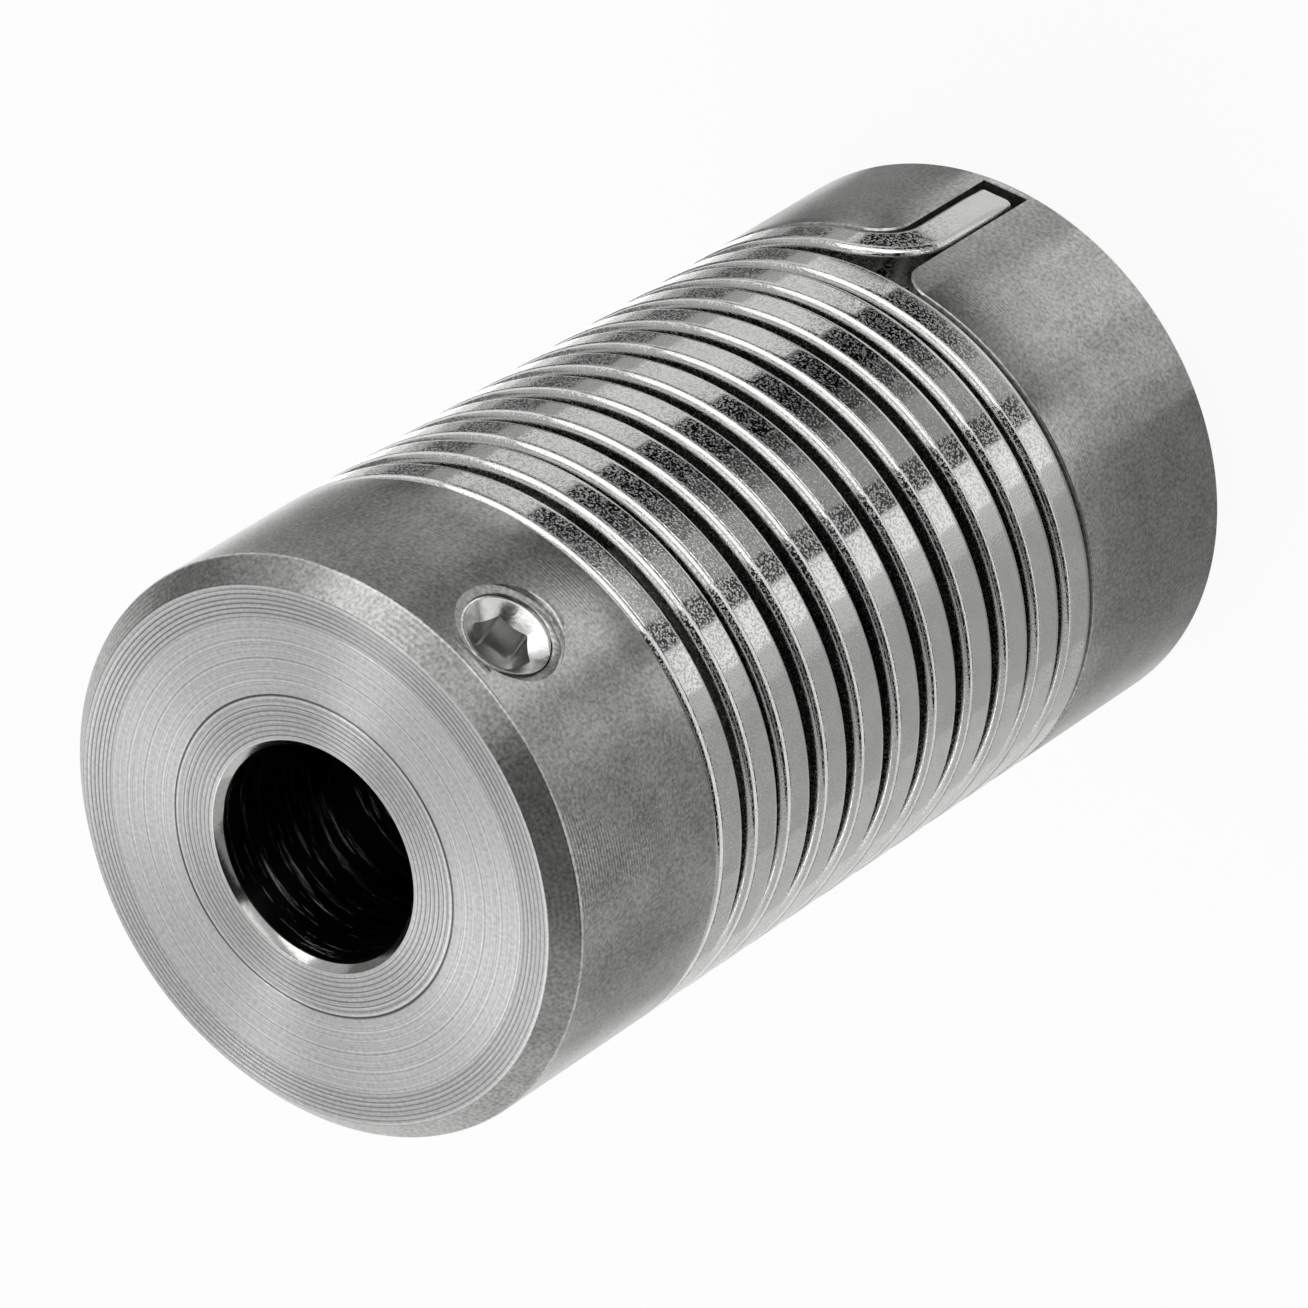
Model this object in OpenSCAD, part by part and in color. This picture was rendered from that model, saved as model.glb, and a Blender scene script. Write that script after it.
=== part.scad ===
// Spring coupling: two equal steel hubs joined by three layers of square-wire spring.
// The layers are wound in turn right, left and right, so the coupling drives both ways.
// It stands on its lower hub. The axis is Z, and the origin is the centre of the lower end face.

/* [Coupling] */
// Outside diameter of the hubs and of the outer spring
coupling_d = 16; // [15:0.5:20]
// Overall length from end face to end face
coupling_l = 30; // [28:0.5:34]

/* [Hub] */
// Diameter of the shaft bore
bore_d = 6; // [4:0.5:6.5]
// Chamfer round the outer rim of the end face
rim_chamfer = 0.6; // [0.3:0.1:1]
// Chamfer at both mouths of the bore
bore_chamfer = 0.2; // [0.1:0.05:0.4]
// Height of the seat ramp's low end above the end face
seat_h = 5.15; // [4.8:0.05:5.6]
// Height of each step of the nose that carries the inner springs
step_h = 1.5; // [1.4:0.1:2]
// Distance from the end face to the closed end of the outer tang slot
slot_end = 0.75; // [0.65:0.05:1]

/* [Springs] */
// Width of the square wire along the axis
wire_w = 1.2; // [1:0.05:1.25]
// Thickness of the square wire across the axis
wire_t = 1.2; // [0.9:0.05:1.25]
// Bevel on the two outer edges of the outer spring's wire
wire_edge = 0.15; // [0.05:0.05:0.25]
// Turns of the outer spring, from tang to tang
outer_turns = 11.43; // [10.5:0.01:11.6]
// Turns of the middle spring, from tang to tang
middle_turns = 7.5; // [6.5:0.25:7.75]
// Turns of the inner spring, from tang to tang
inner_turns = 6; // [5:0.25:6]
// Rise of the outer spring's first and last turn, and of the seat ramp
seat_lead = 1.8; // [1.5:0.05:2]
// Pitch of the closed turns beside the end turns
closed_pitch = 1.4; // [1.38:0.02:1.5]
// Number of closed turns at each end
closed_turns = 1.5; // [1:0.25:1.5]
// Radius of the bend into the outer spring's tang, at the middle of the wire
outer_bend_r = 1.7; // [1.5:0.1:2]
// Radius of the bend into the tangs of the two inner springs
inner_bend_r = 1.2; // [1.1:0.05:1.3]
// Length of the inner tangs beyond their bends
inner_tang_l = 0.6; // [0.4:0.1:0.6]

/* [Set screw] */
// Thread diameter of the set screw
screw_d = 3; // [2.5:0.5:3]
// Length of the set screw
screw_l = 4; // [3:0.5:4]
// Height of the set screw's axis above the end face
screw_h = 2.6; // [2.4:0.1:3]
// Depth of the set screw's outer end below the hub's surface
screw_recess = 0.25; // [0.2:0.05:0.6]
// Width of the hexagon socket across its flats
socket_af = 1.5; // [1.3:0.1:1.6]
// Depth of the hexagon socket
socket_depth = 1.3; // [1:0.1:1.6]
// Turn of the hexagon socket about the screw's axis
socket_turn = 47; // [0:1:60]

/* [Fits] */
// Gap between one spring layer and the next, and between a layer and the nose inside it
layer_gap = 0.1; // [0.08:0.02:0.14]
// Gap on each side of a tang in its slot
slot_gap = 0.12; // [0.08:0.01:0.2]
// Gap between the end of the outer tang and the closed end of its slot
tang_end_gap = 0.4; // [0.3:0.05:1]
// Gap between the end turn of a spring and its seat
seat_gap = 0.05; // [0.03:0.01:0.1]
// Gap round the set screw's thread
thread_gap = 0.03; // [0.02:0.01:0.05]

/* [Hidden] */

hub_r = coupling_d / 2;
bore_r = bore_d / 2;

// Outside and inside radius of each spring layer
layer_step = wire_t + layer_gap;
outer_out = hub_r;
outer_in = outer_out - wire_t;
middle_out = hub_r - layer_step;
middle_in = middle_out - wire_t;
inner_out = middle_out - layer_step;
inner_in = inner_out - wire_t;

// The nose has one step inside the outer spring and one inside the middle spring
nose_r = outer_in - layer_gap;
tip_r = middle_in - layer_gap;
ramp_top = seat_h + seat_lead;
nose_top = ramp_top + step_h;
tip_top = nose_top + step_h;

// Slots for the tangs, the nose slots stopping short of the step below
slot_w = wire_w + 2 * slot_gap;
nose_slot_h = step_h - layer_gap;
outer_corner_r = outer_bend_r - slot_w / 2;
inner_corner_r = inner_bend_r - slot_w / 2;
corner_lift = 0.02;

// The outer tang fills its slot up to the gap at the closed end
outer_tang_l = bend_start(outer_out, seat_h, seat_lead, outer_bend_r) - slot_end - tang_end_gap;

// Angles of the slots from the outer slot, the same in both hubs
middle_slot_a = 180 * (outer_turns + middle_turns);
inner_slot_a = 180 * (outer_turns - inner_turns);
screw_a = 180;

// The upper hub's set screw faces the front, along -Y
upper_a = 90;
lower_a = upper_a - 360 * outer_turns;

// Facets of a turn, and of a tang's bend
outer_facets = 40;
inner_facets = 26;
bend_facets = 6;
ramp_facets = 60;
over = 1;

// Height of a coil's centreline after n turns, for a spring of that many turns between two seats
function coil_z(n, turns, seat, lead) =
    let (first = seat + seat_gap + wire_w / 2,
         last = coupling_l - first,
         closed = lead + closed_turns * closed_pitch)
    lookup(n, [[0, first], [1, first + lead], [1 + closed_turns, first + closed],
               [turns - 1 - closed_turns, last - closed], [turns - 1, last - lead], [turns, last]]);

// Height at which a tang ends and its bend into the first turn starts
function bend_start(r, seat, lead, bend_r) =
    let (slope = atan(lead / (2 * PI * r)),
         first = seat + seat_gap + wire_w / 2)
    first + tan(slope) * bend_r * (1 - sin(slope)) - bend_r * cos(slope);

// Route of one end of a spring, as [distance round, height, heading from the axis]
function tang_route(r, seat, lead, bend_r, tang_l) =
    let (slope = atan(lead / (2 * PI * r)),
         bend_z = bend_start(r, seat, lead, bend_r))
    [[0, bend_z - tang_l, 0],
     for (i = [0 : bend_facets])
         let (b = (90 - slope) * i / bend_facets)
         [bend_r * (1 - cos(b)), bend_z + bend_r * sin(b), b]];

// The same route seen from the other end of the spring, turned over end for end
function turned_over(route, length) =
    [for (i = [len(route) - 1 : -1 : 0])
        [length - route[i][0], coupling_l - route[i][1], route[i][2]]];

// Whole route of a spring: a tang, its turns, and the other tang
function spring_route(r, turns, seat, lead, bend_r, tang_l, facets) =
    let (tang = tang_route(r, seat, lead, bend_r, tang_l),
         round = 2 * PI * r,
         heading = tang[len(tang) - 1][2],
         start = tang[len(tang) - 1][0] / round,
         steps = ceil((turns - 2 * start) * facets))
    concat(tang,
           [for (i = [1 : steps - 1])
               let (n = start + (turns - 2 * start) * i / steps)
               [n * round, coil_z(n, turns, seat, lead), heading]],
           turned_over(tang, turns * round));

// Wire of the given section, as [offset across, radius], swept along a route on a cylinder of radius r
module wound_wire(route, section, r, start_a, hand) {
    m = len(section);
    rings = len(route);
    points = [for (p = route, s = section)
        let (across = p[0] - s[0] * cos(p[2]),
             a = start_a + hand * across / r * 180 / PI)
        [s[1] * cos(a), s[1] * sin(a), p[1] + s[0] * sin(p[2])]];
    sides = [for (i = [0 : rings - 2], j = [0 : m - 1])
        let (k = (j + 1) % m)
        [i * m + j, i * m + k, (i + 1) * m + k, (i + 1) * m + j]];
    caps = [[for (j = [m - 1 : -1 : 0]) j], [for (j = [0 : m - 1]) (rings - 1) * m + j]];
    faces = concat(sides, caps);
    polyhedron(points, hand > 0 ? faces : [for (f = faces) [for (i = [len(f) - 1 : -1 : 0]) f[i]]]);
}

function square_section(r_in, r_out) =
    [[-wire_w / 2, r_in], [wire_w / 2, r_in], [wire_w / 2, r_out], [-wire_w / 2, r_out]];

function bevelled_section(r_in, r_out) =
    let (h = wire_w / 2, e = wire_edge)
    [[-h, r_in], [h, r_in], [h, r_out - e], [h - e, r_out], [e - h, r_out], [-h, r_out - e]];

module outer_spring() {
    color("gainsboro")
    wound_wire(spring_route(outer_out, outer_turns, seat_h, seat_lead,
                            outer_bend_r, outer_tang_l, outer_facets),
               bevelled_section(outer_in, outer_out), outer_out, lower_a, 1);
}

module middle_spring() {
    color("silver")
    wound_wire(spring_route(middle_out, middle_turns, nose_top, closed_pitch,
                            inner_bend_r, inner_tang_l, inner_facets),
               square_section(middle_in, middle_out), middle_out, lower_a + middle_slot_a, -1);
}

module inner_spring() {
    color("silver")
    wound_wire(spring_route(inner_out, inner_turns, tip_top, closed_pitch,
                            inner_bend_r, inner_tang_l, inner_facets),
               square_section(inner_in, inner_out), inner_out, lower_a + inner_slot_a, 1);
}

// Space above the seat ramp, from just past the outer slot round to just before it
module ramp_space() {
    gap_a = slot_w / hub_r * 180 / PI / 4;
    inside = nose_r - over;
    outside = hub_r + over;
    top = ramp_top + over;
    points = [for (i = [0 : ramp_facets])
        let (a = gap_a + (360 - 2 * gap_a) * i / ramp_facets,
             z = seat_h + seat_lead * a / 360)
        each [[inside * cos(a), inside * sin(a), z], [outside * cos(a), outside * sin(a), z],
              [outside * cos(a), outside * sin(a), top], [inside * cos(a), inside * sin(a), top]]];
    sides = [for (i = [0 : ramp_facets - 1], j = [0 : 3])
        let (k = (j + 1) % 4)
        [4 * i + j, 4 * i + k, 4 * i + 4 + k, 4 * i + 4 + j]];
    polyhedron(points, concat(sides, [[3, 2, 1, 0], [for (j = [0 : 3]) 4 * ramp_facets + j]]));
}

// Space outside a rounded corner of a slot's mouth, on the side given by the sign, cut across a wall
module slot_corner(side, z, r, from_r, to_r) {
    translate([from_r, side * (slot_w / 2 + r), z - r + corner_lift])
    rotate([90, 0, 90])
    linear_extrude(to_r - from_r)
    difference() {
        translate([side > 0 ? -r - slot_w / 4 : 0, 0]) square([r + slot_w / 4, 2 * r]);
        circle(r, $fn = 64);
    }
}

module tang_slot(floor_r, to_r, from_z, to_z) {
    translate([floor_r, -slot_w / 2, from_z]) cube([to_r - floor_r, slot_w, to_z - from_z]);
}

// Ring that shows on the outside, with the seat ramp and the rounded mouth of the outer slot
module hub_ring() {
    corner_a = outer_bend_r / hub_r * 180 / PI;
    inside = nose_r - over;
    difference() {
        rotate_extrude($fn = 180)
        polygon([[inside, 0], [hub_r - rim_chamfer, 0], [hub_r, rim_chamfer],
                 [hub_r, ramp_top], [inside, ramp_top]]);
        ramp_space();
        slot_corner(1, seat_h + seat_lead * corner_a / 360, outer_corner_r, inside - over, hub_r + over);
        slot_corner(-1, ramp_top - seat_lead * corner_a / 360, outer_corner_r, inside - over, hub_r + over);
    }
}

// Stepped core with the bore, which carries the two inner springs
module hub_core() {
    rotate_extrude($fn = 180)
    polygon([[bore_r + bore_chamfer, 0], [nose_r, 0], [nose_r, nose_top], [tip_r, nose_top],
             [tip_r, tip_top], [bore_r + bore_chamfer, tip_top], [bore_r, tip_top - bore_chamfer],
             [bore_r, bore_chamfer]]);
}

// One hub standing on its end face, with the outer slot on +X
module hub() {
    difference() {
        union() {
            hub_ring();
            hub_core();
        }
        tang_slot(nose_r - layer_gap, hub_r + over, slot_end, ramp_top + over);
        rotate([0, 0, middle_slot_a]) {
            tang_slot(tip_r - layer_gap, nose_r + over, nose_top - nose_slot_h, nose_top + over);
            slot_corner(-1, nose_top, inner_corner_r, tip_r - layer_gap, nose_r + over);
        }
        rotate([0, 0, inner_slot_a]) {
            tang_slot(inner_in - layer_gap, tip_r + over, tip_top - nose_slot_h, tip_top + over);
            slot_corner(1, tip_top, inner_corner_r, inner_in - layer_gap, tip_r + over);
        }
        rotate([0, 0, screw_a]) translate([0, 0, screw_h]) rotate([0, 90, 0])
        cylinder(h = hub_r + over, r = screw_d / 2 + thread_gap, $fn = 64);
    }
}

module lower_hub() {
    color("dimgray") rotate([0, 0, lower_a]) hub();
}

// Turns a piece of the lower hub over to its place on the upper hub
module on_top() {
    translate([0, 0, coupling_l]) rotate([0, 0, upper_a]) rotate([180, 0, 0]) children();
}

module upper_hub() {
    color("dimgray") on_top() hub();
}

// Set screw with a cup point and a hexagon socket, in its hole opposite the outer slot
module set_screw() {
    r = screw_d / 2 - thread_gap;
    bevel = screw_d / 24;
    cup_r = screw_d / 4;
    rotate([0, 0, screw_a]) translate([hub_r - screw_recess - screw_l, 0, screw_h]) rotate([0, 90, 0])
    difference() {
        rotate_extrude($fn = 64)
        polygon([[0, cup_r / 2], [cup_r, 0], [r, r - cup_r],
                 [r, screw_l - bevel], [r - bevel, screw_l], [0, screw_l]]);
        translate([0, 0, screw_l - socket_depth]) rotate([0, 0, socket_turn])
        cylinder(h = socket_depth + over, r = socket_af / sqrt(3), $fn = 6);
    }
}

module lower_set_screw() {
    color("slategray") rotate([0, 0, lower_a]) set_screw();
}

module upper_set_screw() {
    color("slategray") on_top() set_screw();
}

lower_hub();
upper_hub();
outer_spring();
middle_spring();
inner_spring();
lower_set_screw();
upper_set_screw();
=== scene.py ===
# %% [markdown]
# # A spring coupling, dressed in Blender
#
# A spring coupling joins two shaft ends and lets them run a little out of line. Two turned steel hubs
# hold three springs of square wire, one inside the other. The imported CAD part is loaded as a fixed
# frame, and this lesson builds the fine shapes, the finishes and the light around it.

# %% Load the frame
import math

import bmesh
import bpy
import numpy as np
from mathutils import Matrix, Vector


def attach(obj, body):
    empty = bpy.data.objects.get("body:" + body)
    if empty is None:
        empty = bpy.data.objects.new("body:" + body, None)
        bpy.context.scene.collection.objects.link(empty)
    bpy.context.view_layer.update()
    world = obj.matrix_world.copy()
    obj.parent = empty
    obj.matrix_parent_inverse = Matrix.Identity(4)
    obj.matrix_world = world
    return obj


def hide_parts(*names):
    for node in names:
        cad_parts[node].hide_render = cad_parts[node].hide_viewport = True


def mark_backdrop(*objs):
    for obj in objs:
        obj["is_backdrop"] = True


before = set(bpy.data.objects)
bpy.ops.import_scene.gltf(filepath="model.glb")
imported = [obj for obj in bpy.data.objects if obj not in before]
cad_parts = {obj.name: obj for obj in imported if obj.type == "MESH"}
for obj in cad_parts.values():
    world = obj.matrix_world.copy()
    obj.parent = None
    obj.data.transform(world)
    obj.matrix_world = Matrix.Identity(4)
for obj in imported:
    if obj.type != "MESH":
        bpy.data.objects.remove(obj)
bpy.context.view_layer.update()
print("nodes:", sorted(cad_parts))

# %% [markdown]
# ## Sizes
#
# Blender works in metres here, but a coupling is easier to think of in millimetres. The pieces below
# are drawn in millimetres, with the part's own dimensions, and scaled once when their mesh is made.

# %% Sizes of the coupling, in millimetres
MM = 0.001
HUB_R = 8.0
LENGTH = 30.0
BORE_R = 3.0
RIM_CHAMFER = 0.6
BORE_CHAMFER = 0.2
SEAT_H = 5.15
SEAT_LEAD = 1.8
STEP_H = 1.5
WIRE = 1.2
LAYER_GAP = 0.1
OUTER_TURNS, MIDDLE_TURNS, INNER_TURNS = 11.43, 7.5, 6.0
RAMP_TOP = SEAT_H + SEAT_LEAD
NOSE_TOP = RAMP_TOP + STEP_H
TIP_TOP = NOSE_TOP + STEP_H
LAYER_STEP = WIRE + LAYER_GAP
NOSE_R = HUB_R - LAYER_STEP
TIP_R = NOSE_R - LAYER_STEP
# Angles of the two tang slots round the axis
UPPER_A = 90.0
LOWER_A = UPPER_A - 360 * OUTER_TURNS
print("nose steps at", round(NOSE_TOP, 2), "and", round(TIP_TOP, 2), "mm")

# %% [markdown]
# ## Camera
#
# The photograph was taken with a long lens. With the coupling stood on end, its camera is about 46
# degrees above the floor, and rolled so that the axis runs from lower left to upper right. The aim
# point, the distance and the roll come from fitting circles of known size to the rims of the hubs.

# %% Camera
CAMERA_AIM = Vector((-0.20, 0.37, 15.29))
CAMERA_AZIMUTH = math.radians(-105.41)
CAMERA_ELEVATION = math.radians(45.91)
CAMERA_ROLL = math.radians(122.43)
CAMERA_DISTANCE = 272.7
CAMERA_LENS = 285.9
SENSOR = 36.0

back = Vector((math.cos(CAMERA_ELEVATION) * math.cos(CAMERA_AZIMUTH),
               math.cos(CAMERA_ELEVATION) * math.sin(CAMERA_AZIMUTH),
               math.sin(CAMERA_ELEVATION)))
level_right = Vector((0, 0, 1)).cross(back).normalized()
level_up = back.cross(level_right)
up = level_up * math.cos(CAMERA_ROLL) + level_right * math.sin(CAMERA_ROLL)
right = up.cross(back)
camera_data = bpy.data.cameras.new("photo_camera")
camera_data.lens = CAMERA_LENS
camera_data.sensor_width = SENSOR
camera_data.clip_start = 0.01
camera = bpy.data.objects.new("photo_camera", camera_data)
bpy.context.scene.collection.objects.link(camera)
camera.matrix_world = (Matrix.Translation((CAMERA_AIM + back * CAMERA_DISTANCE) * MM)
                       @ Matrix((right, up, back)).transposed().to_4x4())
bpy.context.scene.camera = camera
bpy.context.scene.view_settings.view_transform = "Standard"
print("camera at", [round(v, 4) for v in camera.location])

# %% [markdown]
# ## Making meshes
#
# Every piece is drawn as points and faces in millimetres, and one function turns them into a mesh
# object. A second one welds rows that meet, closes the ends and turns the faces outwards, which a
# boolean needs. A third cuts one piece with another and keeps the result as a plain mesh. The last one
# shades a piece smooth, apart from the edges that are sharper than a given angle.

# %% Mesh helpers
def mesh_piece(name, points, faces):
    mesh = bpy.data.meshes.new(name)
    mesh.from_pydata((np.asarray(points, float) * MM).tolist(), [], faces)
    piece = bpy.data.objects.new(name, mesh)
    bpy.context.scene.collection.objects.link(piece)
    return piece


def weld(piece, distance=1e-7):
    shape = bmesh.new()
    shape.from_mesh(piece.data)
    bmesh.ops.remove_doubles(shape, verts=shape.verts, dist=distance)
    bmesh.ops.holes_fill(shape, edges=[edge for edge in shape.edges if edge.is_boundary])
    bmesh.ops.recalc_face_normals(shape, faces=shape.faces)
    shape.to_mesh(piece.data)
    shape.free()
    return piece


def cut(piece, cutter):
    modifier = piece.modifiers.new("cut", "BOOLEAN")
    modifier.object, modifier.solver = cutter, "EXACT"
    shaped = piece.evaluated_get(bpy.context.evaluated_depsgraph_get())
    mesh = bpy.data.meshes.new_from_object(shaped)
    piece.modifiers.clear()
    piece.data = mesh
    bpy.data.objects.remove(cutter)
    return piece


def smooth(piece, sharp_deg):
    piece.data.shade_smooth()
    piece.data.set_sharp_from_angle(angle=math.radians(sharp_deg))
    return piece


print("1 mm is drawn as", MM, "m")

# %% [markdown]
# Smooth shading lets a flat take on the lean of the round beside it, and a shiny flat then mirrors
# like a barrel. Two more points, close to the ends of each long edge of an outline, keep the flat flat.

# %% Hold the flats of an outline
FLAT_HOLD = 0.03


def hold_flats(outline, closed):
    outline = [np.array(point) for point in outline]
    held = []
    for here, ahead in zip(outline, outline[1:] + outline[:closed]):
        held.append(here)
        length = np.linalg.norm(ahead - here)
        if length > 4 * FLAT_HOLD:
            step = (ahead - here) * FLAT_HOLD / length
            held += [here + step, ahead - step]
    return held if closed else held + outline[-1:]


print("points that hold one flat:", len(hold_flats([(0, 0), (1, 0)], closed=False)))

# %% [markdown]
# ## Springs
#
# Each spring is square wire coiled between two seats, with both ends bent along the axis into a slot.
# A curve with a bevel would twist the square section, so the wire is swept by hand: its route is drawn
# on the unrolled cylinder, as distance round, height and heading from the axis.

# %% Route of a spring on the unrolled cylinder
SEAT_GAP = 0.05
CLOSED_PITCH, CLOSED_TURNS = 1.4, 1.5
TANG_STEPS, BEND_STEPS = 4, 18


def coil_height(n, turns, seat, lead):
    first = seat + SEAT_GAP + WIRE / 2
    last = LENGTH - first
    closed = lead + CLOSED_TURNS * CLOSED_PITCH
    return np.interp(n, [0, 1, 1 + CLOSED_TURNS, turns - 1 - CLOSED_TURNS, turns - 1, turns],
                     [first, first + lead, first + closed, last - closed, last - lead, last])


def spring_route(r, turns, seat, lead, bend_r, end_z, steps_per_turn):
    round_length = 2 * math.pi * r
    slope = math.atan(lead / round_length)
    first = seat + SEAT_GAP + WIRE / 2
    bend_z = first + math.tan(slope) * bend_r * (1 - math.sin(slope)) - bend_r * math.cos(slope)
    end = [(0.0, z, 0.0) for z in np.linspace(end_z, bend_z, TANG_STEPS)[:-1]]
    end += [(bend_r * (1 - math.cos(b)), bend_z + bend_r * math.sin(b), b)
            for b in np.linspace(0, math.pi / 2 - slope, BEND_STEPS)]
    start = end[-1][0] / round_length
    steps = math.ceil((turns - 2 * start) * steps_per_turn)
    coils = [(n * round_length, float(coil_height(n, turns, seat, lead)), math.pi / 2 - slope)
             for n in np.linspace(start, turns - start, steps + 1)[1:-1]]
    other_end = [(turns * round_length - u, LENGTH - z, b) for u, z, b in reversed(end)]
    return np.array(end + coils + other_end)


outer_ends = coil_height(np.array([0, OUTER_TURNS]), OUTER_TURNS, SEAT_H, SEAT_LEAD)
print("outer spring climbs", round(float(np.ptp(outer_ends)), 2), "mm between its seats")

# %% [markdown]
# The wire was drawn through a square die, which leaves its four edges rounded. The round edges catch
# the light as the thin bright lines beside each gap, so they are modelled, not faked with bump. The
# cut end of each tang is drawn in by a few small steps, which rounds its edges too.

# %% Rounded section of the wire, and its sweep
END_ROUND = 0.2
END_STEPS = 5
WIRE_SHARP_DEG = 40


def wire_section(r_in, r_out, outer_round, inner_round, arc_steps):
    h = WIRE / 2
    corners = [(-1, r_in + inner_round, inner_round, 180), (1, r_in + inner_round, inner_round, 270),
               (1, r_out - outer_round, outer_round, 0), (-1, r_out - outer_round, outer_round, 90)]
    section = []
    for side, centre_r, radius, first_deg in corners:
        for step in range(arc_steps + 1):
            a = math.radians(first_deg + 90 * step / arc_steps)
            section.append((side * (h - radius) + radius * math.cos(a), centre_r + radius * math.sin(a)))
    return np.array(hold_flats(section, closed=True))


def wound_wire(name, route, section, r, start_a, hand):
    first, last = route[0], route[-1]
    middle = np.array((0.0, section[:, 1].mean()))
    half = np.abs(section - middle).max(0)
    ends = []
    for a in np.linspace(0, math.pi / 2, END_STEPS + 1)[:-1]:
        inset = END_ROUND * (1 - math.sin(a))
        ends.append((END_ROUND * (1 - math.cos(a)), middle + (section - middle) * (1 - inset / half)))
    rings = [((first[0], first[1] + along, first[2]), shape) for along, shape in ends]
    rings += [(place, section) for place in route[1:-1]]
    rings += [((last[0], last[1] - along, last[2]), shape) for along, shape in reversed(ends)]
    points = []
    for (u, z, heading), shape in rings:
        angle = math.radians(start_a) + hand * (u - shape[:, 0] * math.cos(heading)) / r
        points.append(np.stack([shape[:, 1] * np.cos(angle), shape[:, 1] * np.sin(angle),
                                z + shape[:, 0] * math.sin(heading)], -1))
    m = len(section)
    faces = [(i * m + j, i * m + (j + 1) % m, (i + 1) * m + (j + 1) % m, (i + 1) * m + j)
             for i in range(len(rings) - 1) for j in range(m)]
    piece = weld(mesh_piece(name, np.concatenate(points), faces))
    print(name, "faces:", len(piece.data.polygons))
    return smooth(piece, WIRE_SHARP_DEG)


print("the ends of each wire are rounded over", END_ROUND, "mm")

# %% [markdown]
# The outer spring is wound right-handed, the middle one left-handed and the inner one right-handed
# again, so that one of them tightens whichever way the shaft turns. Only the outer one shows, so it
# gets more steps to the turn.

# %% The three springs
MIDDLE_SLOT_A = 180 * (OUTER_TURNS + MIDDLE_TURNS)
INNER_SLOT_A = 180 * (OUTER_TURNS - INNER_TURNS)
OUTER_BEND, INNER_BEND = 1.7, 1.2
SLOT_END = 0.75
TANG_END_GAP = 0.4
NOSE_SLOT_H = STEP_H - LAYER_GAP
NOSE_TANG_GAP = 0.3
WIRE_EDGE, HIDDEN_EDGE, INSIDE_EDGE = 0.24, 0.1, 0.06
TURN_STEPS, HIDDEN_TURN_STEPS = 144, 96
EDGE_STEPS, HIDDEN_EDGE_STEPS = 6, 3
RIGHT_HAND, LEFT_HAND = 1, -1

outer_wire = wound_wire(
    "outer_spring_wire",
    spring_route(HUB_R, OUTER_TURNS, SEAT_H, SEAT_LEAD, OUTER_BEND, SLOT_END + TANG_END_GAP, TURN_STEPS),
    wire_section(HUB_R - WIRE, HUB_R, WIRE_EDGE, INSIDE_EDGE, EDGE_STEPS), HUB_R, LOWER_A, RIGHT_HAND)
middle_wire = wound_wire(
    "middle_spring_wire",
    spring_route(NOSE_R, MIDDLE_TURNS, NOSE_TOP, CLOSED_PITCH, INNER_BEND,
                 NOSE_TOP - NOSE_SLOT_H + NOSE_TANG_GAP, HIDDEN_TURN_STEPS),
    wire_section(NOSE_R - WIRE, NOSE_R, HIDDEN_EDGE, INSIDE_EDGE, HIDDEN_EDGE_STEPS),
    NOSE_R, LOWER_A + MIDDLE_SLOT_A, LEFT_HAND)
inner_wire = wound_wire(
    "inner_spring_wire",
    spring_route(TIP_R, INNER_TURNS, TIP_TOP, CLOSED_PITCH, INNER_BEND,
                 TIP_TOP - NOSE_SLOT_H + NOSE_TANG_GAP, HIDDEN_TURN_STEPS),
    wire_section(TIP_R - WIRE, TIP_R, HIDDEN_EDGE, INSIDE_EDGE, HIDDEN_EDGE_STEPS),
    TIP_R, LOWER_A + INNER_SLOT_A, RIGHT_HAND)
springs = {"outer_spring": outer_wire, "middle_spring": middle_wire, "inner_spring": inner_wire}
for node, piece in springs.items():
    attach(piece, "root")
    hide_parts(node)

# %% [markdown]
# ## Hubs
#
# A hub is turned from bar, so its outline is revolved: the end face with the rings that the facing tool
# left, a chamfered rim, the seat, the stepped nose and the bore. Edges that a file or a blast would
# break get a small radius, because a knife edge never catches light on a real part.

# %% Outline of a hub, with its small edge breaks
EDGE_BREAK = 0.05
RIM_ROUND = 0.14
FACE_EDGE = 0.05
FACE_STEP = 0.015
SIDE_STEP = 0.25
# Rings of the facing tool: from radius, to radius, feed of the tool, depth of its scallop, and how much
# deeper each ring ends than it starts, because the tool was not quite square to the face
FACE_RINGS = ((3.32, 4.265, 0.135, 0.004, 0.003), (6.52, 7.276, 0.126, 0.003, -0.006))
# A scribed ring where the two facing cuts meet: radius, half width, depth
FACE_SCRIBE = (4.42, 0.03, 0.02)
# Points of the outline across the scribed ring, in half widths from its middle
SCRIBE_POINTS = np.arange(-3, 3, 0.5)
ROUND_STEPS = 4


def rounded(corners):
    out = []
    for k, (r, z, radius) in enumerate(corners):
        here = np.array((r, z))
        if radius == 0:
            out.append(tuple(here))
            continue
        before = np.array(corners[k - 1][:2]) - here
        after = np.array(corners[(k + 1) % len(corners)][:2]) - here
        before, after = before / np.linalg.norm(before), after / np.linalg.norm(after)
        half = math.acos(np.clip(before @ after, -1, 1)) / 2
        centre = here + (before + after) / np.linalg.norm(before + after) * radius / math.sin(half)
        first, last = (here + leg * radius / math.tan(half) for leg in (before, after))
        for t in np.linspace(0, 1, ROUND_STEPS + 1):
            arm = first * (1 - t) + last * t - centre
            out.append(tuple(centre + arm / np.linalg.norm(arm) * radius))
    return out


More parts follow.
